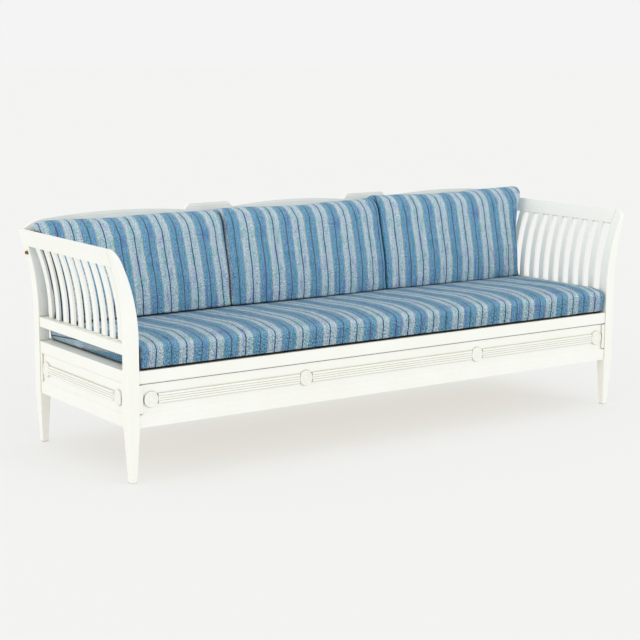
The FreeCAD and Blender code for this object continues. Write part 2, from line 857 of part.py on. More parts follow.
def right_back_cushion():
    left = middle_right + back_cushion_gap
    right = cushion_foot_reach - right_cushion_slack
    return back_cushion((left, right), (left, right + right_cushion_spread))


os.makedirs("parts", exist_ok=True)

save("front_right_post", right_post(True))
save("front_left_post", mirrored(right_post(True)))
save("rear_right_post", right_post(False))
save("rear_left_post", mirrored(right_post(False)))
save("right_arm_top_rail", right_arm_top_rail())
save("left_arm_top_rail", mirrored(right_arm_top_rail()))
save("right_arm_lower_rail", right_arm_lower_rail())
save("left_arm_lower_rail", mirrored(right_arm_lower_rail()))
for number in range(slat_count):
    one_slat = right_arm_slat(number)
    save(f"right_arm_slat_{number + 1:02d}", one_slat)
    save(f"left_arm_slat_{number + 1:02d}", mirrored(one_slat))
save("right_side_apron", right_side_apron())
save("left_side_apron", mirrored(right_side_apron()))
save("side_reeding", side_reeding())
save("side_rosettes", side_rosettes())
save("rear_seat_rail", rear_seat_rail())
save("back_lower_rail", back_lower_rail())
save("right_back_upright", right_back_upright())
save("left_back_upright", mirrored(right_back_upright()))
save("crest_rail", crest_rail())
save("back_slats", back_slats())
save("front_stretcher", front_stretcher())
save("fixed_bed_slats", fixed_bed_slats())
save("seat_ledges", seat_ledges())
save("drawer_runners", drawer_runners())
save("bolt_caps", bolt_caps())
save("front_top_rail", front_top_rail())
save("front_panel", front_panel())
save("front_bottom_rail", front_bottom_rail())
save("front_reeding", front_reeding())
save("front_rosettes", front_rosettes())
save("sliding_bed_slats", sliding_bed_slats())
save("slat_batten", slat_batten())
save("right_pull_rail", right_pull_rail())
save("left_pull_rail", mirrored(right_pull_rail()))
save("leg_pivot_bolts", leg_pivot_bolts())
save("left_support_leg", left_support_leg())
save("right_support_leg", mirrored(left_support_leg()))
save("seat_cushion", seat_cushion())
save("left_back_cushion", left_back_cushion())
save("middle_back_cushion", middle_back_cushion())
save("right_back_cushion", right_back_cushion())

print("front travel before the batten meets the stretcher:", batten_front - stretcher_back)
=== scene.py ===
# %% [markdown]
# # A painted pull-out bench bed
#
# The bench is a long wooden frame, painted off-white, with four striped cushions. The woodwork comes
# ready-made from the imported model, so the lesson is about three things: light that suits a white
# object on a white ground, finishes built from nodes, and cushions worked out as surfaces.

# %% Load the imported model
import math

import bpy
import numpy as np
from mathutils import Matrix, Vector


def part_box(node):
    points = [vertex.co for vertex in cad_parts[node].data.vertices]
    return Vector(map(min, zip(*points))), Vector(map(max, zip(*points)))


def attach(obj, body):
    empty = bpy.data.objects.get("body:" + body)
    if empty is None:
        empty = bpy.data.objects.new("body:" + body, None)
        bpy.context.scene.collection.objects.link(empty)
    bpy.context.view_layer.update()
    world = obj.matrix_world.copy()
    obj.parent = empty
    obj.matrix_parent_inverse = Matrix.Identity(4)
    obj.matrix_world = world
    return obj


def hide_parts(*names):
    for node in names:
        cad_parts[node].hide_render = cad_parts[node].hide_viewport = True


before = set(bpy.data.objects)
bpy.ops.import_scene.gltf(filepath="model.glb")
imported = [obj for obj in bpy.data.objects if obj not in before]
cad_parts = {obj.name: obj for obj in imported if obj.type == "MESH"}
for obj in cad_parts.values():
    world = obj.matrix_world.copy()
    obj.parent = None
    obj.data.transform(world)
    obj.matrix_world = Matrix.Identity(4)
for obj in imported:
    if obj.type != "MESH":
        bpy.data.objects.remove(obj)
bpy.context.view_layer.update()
scene = bpy.context.scene

# %% [markdown]
# ## The camera
#
# The picture was taken from the left of the front, a little above the arms, with a long lens. Three
# directions make such a camera: backwards from the subject, to the right, and up. A small roll turns
# the last two about the first. The lens is given as the distance of a 36 mm wide picture plane.

# %% Directions and placings
def placing(right, up, backwards, position):
    """The placing of a camera or lamp, column by column: its three directions, then its position."""
    matrix = np.eye(4)
    matrix[:3, 0], matrix[:3, 1], matrix[:3, 2], matrix[:3, 3] = right, up, backwards, position
    return matrix.T.tolist()


def direction(azimuth, elevation):
    """The unit direction at an azimuth, 0 at the front and positive to the right, and an elevation."""
    level = math.cos(elevation)
    return np.array([math.sin(azimuth) * level, -math.cos(azimuth) * level, math.sin(elevation)])


print("the front looks along", direction(0.0, 0.0))

# %% Camera
azimuth, elevation, roll = math.radians(-34.428), math.radians(9.923), math.radians(0.185)
target = np.array([-0.0795, 0.0, 0.3802])
distance = 5.7687
picture_pixels, focal_pixels = 640, 1621.9
picture_plane_mm = 36.0

backwards = direction(azimuth, elevation)
level_right = np.array([math.cos(azimuth), math.sin(azimuth), 0.0])
level_up = np.cross(backwards, level_right)
right = level_right * math.cos(roll) + level_up * math.sin(roll)
up = level_up * math.cos(roll) - level_right * math.sin(roll)

camera_data = bpy.data.cameras.new("camera")
camera_data.sensor_width = picture_plane_mm
camera_data.lens = focal_pixels / picture_pixels * picture_plane_mm
camera = bpy.data.objects.new("camera", camera_data)
scene.collection.objects.link(camera)
camera.matrix_world = placing(right, up, backwards, target + backwards * distance)
scene.camera = camera
print("camera at", np.round(target + backwards * distance, 3), "lens", round(camera_data.lens, 1), "mm")

# %% [markdown]
# ## Light and ground
#
# A white object on a white ground shows its form only through soft differences. So the surroundings
# light it evenly from all sides, and two broad lamps, as far away as suns, give it form: one from the
# right of the front, whose shadows fall to the left of the carving, and a lower and broader one from
# the left for the arm. The plain transform keeps whites white.

# %% Colours and surroundings
def linear(hex_colour):
    """sRGB to linear light: c / 12.92 up to 0.04045, and ((c + 0.055) / 1.055) to the power 2.4 above."""
    values = [int(hex_colour[i:i + 2], 16) / 255 for i in (1, 3, 5)]
    return (*[c / 12.92 if c <= 0.04045 else ((c + 0.055) / 1.055) ** 2.4 for c in values], 1.0)


surroundings_colour, surroundings_strength = "#FEFFFE", 0.905

scene.view_settings.view_transform = "Standard"
world = bpy.data.worlds.new("surroundings")
world.use_nodes = True
surroundings = world.node_tree.nodes["Background"]
surroundings.inputs["Color"].default_value = linear(surroundings_colour)
surroundings.inputs["Strength"].default_value = surroundings_strength
scene.world = world
print("surroundings of strength", surroundings_strength)


# %% Lamps
def far_lamp(name, azimuth_degrees, height_degrees, energy, width_degrees, colour):
    """A lamp at no distance, only a direction: azimuth 0 is the front, and positive to the right."""
    towards = direction(math.radians(azimuth_degrees), math.radians(height_degrees))
    side = np.cross((0, 0, 1), towards)
    side = side / np.linalg.norm(side)
    lamp = bpy.data.lights.new(name, "SUN")
    lamp.energy = energy
    lamp.angle = math.radians(width_degrees)
    lamp.color = linear(colour)[:3]
    placed_lamp = bpy.data.objects.new(name, lamp)
    scene.collection.objects.link(placed_lamp)
    placed_lamp.matrix_world = placing(side, np.cross(towards, side), towards, (0, 0, 0))
    print(name, "of energy", energy, "from", np.round(towards, 2))


far_lamp("front_window_light", azimuth_degrees=27, height_degrees=25, energy=0.42, width_degrees=22,
         colour="#FFFDF7")
far_lamp("side_window_light", azimuth_degrees=-78, height_degrees=9, energy=0.72, width_degrees=45,
         colour="#FFF9EE")

# %% [markdown]
# The floor is a pale light table. Part of its brightness is its own, which keeps the shadow under
# the bench as light as on a studio's white ground, and it is as bright as the surroundings, so no
# horizon shows. It lies a fifth of a millimetre under the feet.

# %% Floor
floor_half, floor_height = 60.0, -0.0002
corner_signs = [(-1, -1), (1, -1), (1, 1), (-1, 1)]

floor_mesh = bpy.data.meshes.new("floor")
floor_mesh.from_pydata([(x * floor_half, y * floor_half, floor_height) for x, y in corner_signs],
                       [], [(0, 1, 2, 3)])
floor = bpy.data.objects.new("floor", floor_mesh)
scene.collection.objects.link(floor)
print("floor", 2 * floor_half, "m wide")

# %% [markdown]
# ## Finishes
#
# Every finish is a small tree of nodes. One function adds a node, sets it and joins it, and a second
# starts a material with its shader. Patterns are sized in millimetres: a pattern that repeats every
# s millimetres needs a scale of 1000 / s on coordinates in metres.

# %% Helpers for node trees
# A Mix node has sockets for numbers, vectors and colours under the same names, so its colour
# sockets are told apart by their places.
first_colour, second_colour, colour_result = 6, 7, 2


def add(tree, kind, inputs=None, stops=None, **settings):
    """Adds one node. Inputs are values, or outputs of other nodes to join. Stops are the (position,
    hex colour) pairs of a colour ramp. Settings are the node's own."""
    node = tree.nodes.new("ShaderNode" + kind)
    for name, value in settings.items():
        setattr(node, name, value)
    for name, value in (inputs or {}).items():
        if isinstance(value, bpy.types.NodeSocket):
            tree.links.new(value, node.inputs[name])
        else:
            node.inputs[name].default_value = value
    if stops:
        points = node.color_ramp.elements
        while len(points) < len(stops):
            points.new(1.0)
        for point, (position, colour) in zip(points, stops):
            point.position = position
            point.color = linear(colour)
    return node


def start_material(name, viewport_colour):
    """A material with one Principled shader, ready for its pattern."""
    material = bpy.data.materials.new(name)
    material.use_nodes = True
    material.diffuse_color = linear(viewport_colour)
    return material, material.node_tree, material.node_tree.nodes["Principled BSDF"]


def per_mm(size):
    """The scale at which a pattern of unit spacing repeats every so many millimetres."""
    return 1000.0 / size


print("a pattern that repeats every 2 mm has the scale", per_mm(2.0))

# %% [markdown]
# ### Studio floor
#
# A matt sheet of pale ground, partly lit from within. It has no pattern: it only takes soft shadows.

# %% Floor finish
floor_colour, floor_glow, floor_glow_strength = "#9A999A", "#FDFFFC", 0.587

floor_finish, tree, shader = start_material("matt_light_table", "#F4F4F1")
shader.inputs["Base Color"].default_value = linear(floor_colour)
shader.inputs["Roughness"].default_value = 1.0
shader.inputs["Specular IOR Level"].default_value = 0.0
shader.inputs["Emission Color"].default_value = linear(floor_glow)
shader.inputs["Emission Strength"].default_value = floor_glow_strength
floor_mesh.materials.append(floor_finish)
print("floor finish:", floor_finish.name)

# %% [markdown]
# ### Brushed oil paint on wood
#
# The bench has a satin off-white paint, put on with a brush along each piece of wood. The eye sees
# faint brush lines along the piece, a slight difference in gloss, and a warmer tone where old paint
# has gone cream. Painted shade darkens the inner corners, at the feet of the slats and along the
# mouldings, which a node finds that looks how open each point is within a few millimetres. The lines
# run along X, Y or Z, so there is one such paint for each direction.

# %% Paint
paint_ior = 1.48
brush_line_mm, brush_length_mm = 2.6, 110.0
brush_stops = [(0.3, "#E2DECF"), (0.7, "#FFFFFF")]
brush_share = 0.04
brush_relief, brush_relief_share = 0.0006, 0.08
cream_patch_mm = 160.0
cream_stops = [(0.35, "#F6F7F3"), (0.7, "#F4F4EE")]
# Painted shade in inner corners and along mouldings: how far a node looks, and the tones it multiplies into
# the paint.
painted_shade_reach = 0.009
painted_shade_stops = [(0.30, "#B8B29E"), (0.55, "#DEDBCE"), (0.84, "#FFFFFF")]
paint_roughness_low, paint_roughness_high = 0.36, 0.5
openness_samples = 8


def satin_paint(axis):
    """Off-white satin paint whose brush lines run along axis 0, 1 or 2."""
    material, tree, shader = start_material("satin_paint_brushed_along_" + "xyz"[axis], "#F4F4EE")
    place = add(tree, "TexCoord").outputs["Object"]
    stretch = [per_mm(brush_line_mm)] * 3
    stretch[axis] = per_mm(brush_length_mm)
    along = add(tree, "Mapping", {"Vector": place, "Scale": stretch}).outputs["Vector"]
    lines = add(tree, "TexNoise", {"Vector": along, "Scale": 1.0, "Detail": 3.0}).outputs["Fac"]
    patches = add(tree, "TexNoise", {"Vector": place, "Scale": per_mm(cream_patch_mm), "Detail": 4.0})
    tone = add(tree, "ValToRGB", {"Fac": patches.outputs["Fac"]}, cream_stops).outputs["Color"]
    line_tone = add(tree, "ValToRGB", {"Fac": lines}, brush_stops).outputs["Color"]
    brushed = add(tree, "Mix", {"Factor": brush_share, first_colour: tone, second_colour: line_tone},
                  data_type="RGBA", blend_type="MULTIPLY").outputs[colour_result]
    # Painted shade: the paint is darker where a point is less open, as shade falls in corners.
    openness = add(tree, "AmbientOcclusion", {"Distance": painted_shade_reach}, samples=openness_samples)
    painted_shade = add(tree, "ValToRGB", {"Fac": openness.outputs["AO"]}, painted_shade_stops).outputs["Color"]
    shaded_paint = add(tree, "Mix", {"Factor": 1.0, first_colour: brushed, second_colour: painted_shade},
                data_type="RGBA", blend_type="MULTIPLY").outputs[colour_result]
    tree.links.new(shaded_paint, shader.inputs["Base Color"])
    gloss = add(tree, "MapRange", {"Value": lines, "To Min": paint_roughness_low,
                                   "To Max": paint_roughness_high})
    tree.links.new(gloss.outputs["Result"], shader.inputs["Roughness"])
    shader.inputs["IOR"].default_value = paint_ior
    bump = add(tree, "Bump", {"Height": lines, "Strength": brush_relief_share, "Distance": brush_relief})
    tree.links.new(bump.outputs["Normal"], shader.inputs["Normal"])
    return material


paint = [satin_paint(axis) for axis in range(3)]
print("paints:", [material.name for material in paint])

# %% [markdown]
# ### Bare pine
#
# The hidden bed slats, runners and rails are planed pine. Growth rings show as lines along the wood,
# a few millimetres apart, darker on their late side. Long thin noise bends them.

# %% Pine
pine_ior, pine_roughness = 1.5, 0.62
ring_mm, ring_length_mm = 7.0, 420.0
ring_stops = [(0.3, "#E3C79B"), (0.52, "#D9B886"), (0.6, "#BF9059"), (0.72, "#DDBD8D")]
ring_relief, ring_relief_share = 0.0005, 0.15


def bare_pine(axis):
    """Planed pine whose grain runs along axis 0 or 1."""
    material, tree, shader = start_material("planed_pine_grain_along_" + "xyz"[axis], "#D8B88A")
    place = add(tree, "TexCoord").outputs["Object"]
    stretch = [per_mm(ring_mm)] * 3
    stretch[axis] = per_mm(ring_length_mm)
    along = add(tree, "Mapping", {"Vector": place, "Scale": stretch}).outputs["Vector"]
    rings = add(tree, "TexNoise", {"Vector": along, "Scale": 1.0, "Detail": 4.0,
                                   "Distortion": 0.8}).outputs["Fac"]
    colour = add(tree, "ValToRGB", {"Fac": rings}, ring_stops).outputs["Color"]
    tree.links.new(colour, shader.inputs["Base Color"])
    shader.inputs["Roughness"].default_value = pine_roughness
    shader.inputs["IOR"].default_value = pine_ior
    bump = add(tree, "Bump", {"Height": rings, "Strength": ring_relief_share, "Distance": ring_relief})
    tree.links.new(bump.outputs["Normal"], shader.inputs["Normal"])
    return material


pine = [bare_pine(axis) for axis in range(2)]
print("pines:", [material.name for material in pine])

# %% [markdown]
# ### Aged brass
#
# The small cap nuts are brass that has gone brown where hands do not reach. A metal's colour comes
# from its reflection, and tarnish makes it darker and rougher in patches of a few millimetres.

# %% Brass
tarnish_mm = 5.0
tarnish_stops = [(0.35, "#6B4A1C"), (0.65, "#B08A45")]
tarnished_roughness, polished_roughness = 0.5, 0.28

brass, tree, shader = start_material("aged_brass", "#8A6A34")
place = add(tree, "TexCoord").outputs["Object"]
tarnish = add(tree, "TexNoise", {"Vector": place, "Scale": per_mm(tarnish_mm), "Detail": 5.0}).outputs["Fac"]
colour = add(tree, "ValToRGB", {"Fac": tarnish}, tarnish_stops).outputs["Color"]
tree.links.new(colour, shader.inputs["Base Color"])
rough = add(tree, "MapRange", {"Value": tarnish, "To Min": tarnished_roughness, "To Max": polished_roughness})
tree.links.new(rough.outputs["Result"], shader.inputs["Roughness"])
shader.inputs["Metallic"].default_value = 1.0
print("metal:", brass.name)

# %% [markdown]
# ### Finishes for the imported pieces
#
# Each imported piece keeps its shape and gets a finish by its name. The direction of its brush lines
# is the direction in which the wood is long. A node that holds several pieces has a box that says
# nothing of that, so its direction is given.

# %% Finishes on the woodwork
pine_along = {"front_stretcher": 0, "slat_batten": 0, "fixed_bed_slats": 1, "sliding_bed_slats": 1,
              "drawer_runners": 1, "left_pull_rail": 1, "right_pull_rail": 1}
paint_along = {"front_reeding": 0, "front_rosettes": 0, "back_slats": 2, "side_reeding": 1,
               "side_rosettes": 1, "seat_ledges": 1}
brass_pieces = ("bolt_caps", "leg_pivot_bolts")
cushions = ("seat_cushion", "left_back_cushion", "middle_back_cushion", "right_back_cushion")


def long_axis(node):
    """0, 1 or 2: the direction in which a piece's box is longest."""
    low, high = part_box(node)
    return int(np.argmax(np.array(high) - np.array(low)))


for name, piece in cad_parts.items():
    if name in cushions:
        continue
    if name in pine_along:
        finish = pine[pine_along[name]]
    elif name in brass_pieces:
        finish = brass
    else:
        finish = paint[paint_along.get(name, long_axis(name))]
    for slot in piece.material_slots:
        slot.material = finish
print("finished pieces of woodwork:", len(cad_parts) - len(cushions))

# %% [markdown]
# ## Striped chenille
#
# The covers are a woven chenille with stripes that repeat about every 109 mm. From the middle of a
# light band outwards comes a dark thread, pale blue-grey, a thin beige thread, mid blue, and another
# dark thread in the middle of the blue band. The pattern is the same on both sides of each dark
# thread, so it needs only the distance to the nearest middle of a light band. The threads waver by
# up to two millimetres, as on any stuffed cover.
#
# The fluffy yarn is dyed unevenly, which gives wide patches and long streaks of teal and violet,
# and its tufts sparkle. They are drawn about twice as coarse as real ones, so that they show. On the
# seat, painted shade darkens the front face and the top, and the front edge is left paler, as a painted
# highlight. Where two cushions press together, and along contact lines, painted shade darkens the
# pile; a node finds it by looking how open each point is.
#
# The pattern follows the cloth through a UV map in metres: U across the stripes, V along them.

# %% Chenille
stripe_mm = 109.3
seat_band_edge_mm, back_band_edge_mm = 24.8, 27.2
waver_mm, waver_reach = 60.0, 0.0018
rib_mm = 4.3426
rib_relief, rib_relief_share = 0.0016, 0.45
wave_repeat = 2 * math.pi / 20  # a Wave texture's bands repeat every so far at a scale of 1
# Painted shade in creases, at joints and along contact lines: how far a node looks, and the tones it
# multiplies in.
crease_shade_reach = 0.03
crease_shade_stops = [(0.12, "#5C6169"), (0.42, "#C6CACE"), (0.70, "#FFFFFF")]

# Each pattern of the yarn: millimetres across and along the stripes, detail, tones, share, blend.
# They are patches, streaks and tufts, and the last one also raises the surface.
yarn_patterns = [
    (26.0, 90.0, 3.0, [(0.36, "#DCF2EE"), (0.48, "#FDFEFE"), (0.55, "#FEFDFE"), (0.66, "#E4DFF5")],
     1.0, "MULTIPLY"),
    (5.0, 55.0, 3.0, [(0.32, "#B4DDE2"), (0.44, "#F2F6F6"), (0.56, "#FAFAFC"), (0.70, "#CFCAEC")],
     0.8, "MULTIPLY"),
    (3.2, 5.0, 4.0, [(0.36, "#6A6E72"), (0.50, "#BFBFBF"), (0.64, "#F4F4F2")],
     0.9, "OVERLAY"),
]

# Painted light by metres along the stripes, from the seat's foot up its front and over its top: a colour
# that multiplies the cloth. Painted shade darkens the front face and the top, and the front edge stays
# white, a painted highlight.
seat_painted_light = [(0.0, "#D6D8DA"), (0.060, "#DCDFE1"), (0.078, "#F4F6F6"), (0.086, "#FFFFFF"),
             (0.094, "#FFFFFF"), (0.125, "#ECEDEE"), (0.8, "#E9EAEC")]
no_painted_light = [(0.0, "#FFFFFF"), (1.2, "#FFFFFF")]


def bands(edge):
    """Colours by millimetres from the middle of a light band. A thin beige thread lies at its edge."""
    return [(0.0, "#1C2128"), (1.2, "#1C2128"), (2.0, "#A3BACB"), (4.0, "#B2C8D9"), (12.0, "#B7CCDB"),
            (17.0, "#BFD2DC"), (edge - 0.8, "#C2D4DC"), (edge, "#BDBBB0"), (edge + 1.6, "#B5B0A2"),
            (edge + 2.6, "#93B0C2"), (edge + 5.4, "#78A8C6"), (38.0, "#73A3C4"), (46.0, "#74A4C4"),
            (52.2, "#729EBC"), (53.6, "#64646A"), (54.65, "#57535A")]


def chenille_cloth(name, edge, painted_light):
    """Striped chenille on the UV map named cloth, with the edges of its light bands so many
    millimetres from their middles. The painted light is a list of (metres along the stripes, hex colour):
    painted shade and a painted highlight that multiply the cloth.

    With t = U / stripe, the share of the way from a light band's middle to the next blue band's
    middle is 2 |t - round(t)|."""
    material, tree, shader = start_material(name, "#7FA3BF")
    cloth = add(tree, "UVMap", uv_map="cloth").outputs["UV"]
    waver = add(tree, "TexNoise", {"Vector": cloth, "Scale": per_mm(waver_mm), "Detail": 1.0}).outputs["Fac"]
    shift = add(tree, "MapRange", {"Value": waver, "To Min": -waver_reach, "To Max": waver_reach})
    place = add(tree, "SeparateXYZ", {"Vector": cloth})
    moved = add(tree, "Math", {0: place.outputs["X"], 1: shift.outputs["Result"]}, operation="ADD")
    turns = add(tree, "Math", {0: moved.outputs["Value"], 1: per_mm(stripe_mm)}, operation="MULTIPLY")
    nearest = add(tree, "Math", {0: turns.outputs["Value"]}, operation="ROUND")
    offset = add(tree, "Math", {0: turns.outputs["Value"], 1: nearest.outputs["Value"]}, operation="SUBTRACT")
    apart = add(tree, "Math", {0: offset.outputs["Value"]}, operation="ABSOLUTE")
    share = add(tree, "Math", {0: apart.outputs["Value"], 1: 2.0}, operation="MULTIPLY")
    stripe_stops = [(distance_mm / (stripe_mm / 2), tone) for distance_mm, tone in bands(edge)]
    colour = add(tree, "ValToRGB", {"Fac": share.outputs["Value"]}, stripe_stops).outputs["Color"]

    for across_mm, along_mm, detail, stops, strength, blend in yarn_patterns:
        scale = (per_mm(across_mm), per_mm(along_mm), 1.0)
        stretched = add(tree, "Mapping", {"Vector": cloth, "Scale": scale}).outputs["Vector"]
        yarn = add(tree, "TexNoise", {"Vector": stretched, "Scale": 1.0, "Detail": detail}).outputs["Fac"]
        pattern = add(tree, "ValToRGB", {"Fac": yarn}, stops).outputs["Color"]
        colour = add(tree, "Mix", {"Factor": strength, first_colour: colour, second_colour: pattern},
                     data_type="RGBA", blend_type=blend).outputs[colour_result]

    # Painted shade where cushions press together, darker the less open a point is.
    openness = add(tree, "AmbientOcclusion", {"Distance": crease_shade_reach}, samples=openness_samples)
    crease_shade = add(tree, "ValToRGB", {"Fac": openness.outputs["AO"]}, crease_shade_stops).outputs["Color"]
    # Painted shade and highlight along the stripes, by metres up the seat's front and over its top.
    length = painted_light[-1][0]
    along = add(tree, "Math", {0: place.outputs["Y"], 1: length}, operation="DIVIDE")
    painted_light_stops = [(start / length, tone) for start, tone in painted_light]
    painted_light_tone = add(tree, "ValToRGB", {"Fac": along.outputs["Value"]}, painted_light_stops).outputs["Color"]
    for shade in (crease_shade, painted_light_tone):
        colour = add(tree, "Mix", {"Factor": 1.0, first_colour: colour, second_colour: shade},
                     data_type="RGBA", blend_type="MULTIPLY").outputs[colour_result]
    tree.links.new(colour, shader.inputs["Base Color"])

    # A pile has next to no gloss, and its fibre ends give a faint sheen.
    shader.inputs["Roughness"].default_value = 0.95
    shader.inputs["Specular IOR Level"].default_value = 0.1
    shader.inputs["Sheen Weight"].default_value = 0.12
    shader.inputs["Sheen Roughness"].default_value = 0.4

    ribs = add(tree, "TexWave", {"Vector": cloth, "Scale": per_mm(rib_mm) * wave_repeat,
                                 "Distortion": 1.0, "Detail": 1.0},
               wave_type="BANDS", bands_direction="Y").outputs["Fac"]
    raised = add(tree, "Math", {0: ribs, 1: yarn}, operation="ADD").outputs["Value"]
    bump = add(tree, "Bump", {"Height": raised, "Strength": rib_relief_share, "Distance": rib_relief})
    tree.links.new(bump.outputs["Normal"], shader.inputs["Normal"])
    return material


seat_chenille = chenille_cloth("striped_chenille_seat", seat_band_edge_mm, seat_painted_light)
back_chenille = chenille_cloth("striped_chenille_back", back_band_edge_mm, no_painted_light)
print("stripes repeat every", stripe_mm, "mm, with", len(bands(seat_band_edge_mm)), "tones on each side")

# %% [markdown]
# ### Cotton lining and painted shadow strip
#
# The underside of the seat cushion is a plain weave of charcoal cotton, and a strip of it at the foot
# is a painted shadow that shows as the dark line under the front. Its threads are under a millimetre,
# so only a faint mottle shows.

# %% Lining and painted shadow strip
mottle_mm = 3.0
mottle_stops = [(0.35, "#101317"), (0.65, "#1E2226")]
mottle_relief, mottle_relief_share = 0.0006, 0.3

underside_and_shadow_strip, tree, shader = start_material("charcoal_underside_and_shadow_strip", "#2A2D31")
place = add(tree, "TexCoord").outputs["Object"]
mottle = add(tree, "TexNoise", {"Vector": place, "Scale": per_mm(mottle_mm), "Detail": 4.0}).outputs["Fac"]
colour = add(tree, "ValToRGB", {"Fac": mottle}, mottle_stops).outputs["Color"]
tree.links.new(colour, shader.inputs["Base Color"])
shader.inputs["Roughness"].default_value = 0.9
shader.inputs["Specular IOR Level"].default_value = 0.15
bump = add(tree, "Bump", {"Height": mottle, "Strength": mottle_relief_share, "Distance": mottle_relief})
tree.links.new(bump.outputs["Normal"], shader.inputs["Normal"])
print("lining:", underside_and_shadow_strip.name)

# %% [markdown]
# ## Cushions
#
# A cushion starts as the skin of a block cut by lattice planes. Its edges are rounded by pulling each
# point that lies past an inner block back to the skin of an ellipsoid. A second function then bends
# that even block into the cushion's own place. On a rounded edge the planes stand at equal turns of
# the surface, so the curve has as many faces near the face as near the corner.

# %% Skin of a block
def lattice(low, high, low_radius, high_radius, spacing, turns=5):
    """Places of planes across one side of a block: even between its rounded edges, and on each edge
    at radius times tan(angle), with equal steps of the angle from 0 to 45 degrees."""
    steps = np.tan(np.linspace(0, math.pi / 4, turns + 1))[1:]
    start, end = low + low_radius, high - high_radius
    even = np.linspace(start, end, max(round((end - start) / spacing), 1) + 1)
    return np.concatenate([start - low_radius * steps[::-1], even, end + high_radius * steps])


def block_skin(xs, ys, zs):
    """Points and quads of the skin of the block that three sets of planes cut.

    Each quad joins four neighbours on one of the six sides, in the order that makes it face outwards.
    The last array gives each quad's side: 0 and 1 are the ends."""
    i, j, k = np.meshgrid(np.arange(len(xs)), np.arange(len(ys)), np.arange(len(zs)), indexing="ij")
    skin = np.zeros(i.shape, bool)
    skin[[0, -1]] = skin[:, [0, -1]] = skin[:, :, [0, -1]] = True
    ids = np.full(skin.shape, -1)
    ids[skin] = np.arange(skin.sum())
    points = np.stack([xs[i], ys[j], zs[k]], -1)[skin]
    grids = [(ids[0], True), (ids[-1], False), (ids[:, 0], False), (ids[:, -1], True),
             (ids[:, :, 0], True), (ids[:, :, -1], False)]
    quads, sides = [], []
    for side, (grid, turned) in enumerate(grids):
        quad = np.stack([grid[:-1, :-1], grid[1:, :-1], grid[1:, 1:], grid[:-1, 1:]], -1).reshape(-1, 4)
        quads.append(quad[:, ::-1] if turned else quad)
        sides.append(np.full(len(quad), side))
    return points, np.concatenate(quads), np.concatenate(sides)


print("planes across 100 mm with 20 mm edges:", np.round(lattice(0, 100, 20, 20, 30, 2), 1))

# %% Rounding and waves
def rounded(points, low, high, low_radii, high_radii, power=2.0):
    """Rounds a block's edges: each point is clamped to the block less the radii, and what is left
    over, counted in radii, is brought to length one and set on again. The length is the root of
    (along X to the power) + (across X to the power), so a power above 2 gives fuller ends."""
    inner = np.clip(points, low + low_radii, high - high_radii)
    over = points - inner
    radii = np.where(over < 0, low_radii, high_radii)
    over = over / radii
    along, across = np.abs(over[:, 0]), np.hypot(over[:, 1], over[:, 2])
    length = (along ** power + across ** power) ** (1 / power)
    return inner + over / length[:, None] * radii


wave_lengths = (0.31, 0.19, 0.12, 0.075)


def waves(x, y, seed, reach):
    """Long waves for cloth that is never quite even: the sum over the lengths L of L times
    sin(2 pi (x cos a + y sin a) / L + s), with a and s from a seeded generator, scaled so that the
    longest wave is as high as the reach."""
    draw = np.random.default_rng(seed)
    total = np.zeros_like(x)
    for length in wave_lengths:
        turn, start = draw.uniform(0, math.pi), draw.uniform(0, 2 * math.pi)
        total += length * np.sin((x * math.cos(turn) + y * math.sin(turn)) * 2 * math.pi / length + start)
    return total / wave_lengths[0] * reach


def eased(values, start, end):
    """0 before start, 1 after end, and 3 t t - 2 t t t between."""
    t = np.clip((values - start) / (end - start), 0, 1)
    return t * t * (3 - 2 * t)


print("a step eased in quarters:", eased(np.linspace(0, 1, 5), 0, 1))

# %% [markdown]
# Each corner of each quad gets its place on the cloth, so the ends can be panels of their own on a
# cushion whose front, top, back and bottom are one long cloth.

# %% Cushion meshes
def cushion_object(name, points, quads, cloth, fabric):
    """Puts a cushion into Blender. Cloth holds U and V for each corner of each quad, in metres."""
    mesh = bpy.data.meshes.new(name)
    mesh.from_pydata(points.tolist(), [], quads.tolist())
    layer = mesh.uv_layers.new(name="cloth")
    layer.data.foreach_set("uv", cloth.astype(np.float32).reshape(-1))
    mesh.materials.append(fabric)
    mesh.polygons.foreach_set("use_smooth", np.ones(len(quads), bool))
    piece = bpy.data.objects.new(name, mesh)
    scene.collection.objects.link(piece)
    print(name, len(points), "points, box", np.round(points.min(0), 4), np.round(points.max(0), 4))
    return piece


# %% [markdown]
# A filled cover is under tension: its sides swell between the seams and pucker at the corners. So
# each cover starts a few millimetres too small and is blown up as cloth, with the part that rests on
# something held. How far a point may move has a cap, and the box of the measured shape is a wall.

# %% Swelling
slack = 0.0035
swell_cap = 0.006
swell_frames = 20
swell_pressure = 4.0
swell_quality = 5
pinned_from = 0.99
shortest_move = 1e-9


def rows_of(source, attribute):
    """An attribute of three numbers of all the points of a mesh, as one array."""
    values = np.empty(len(source) * 3, np.float32)
    source.foreach_get(attribute, values)
    return values.reshape(-1, 3).astype(float)


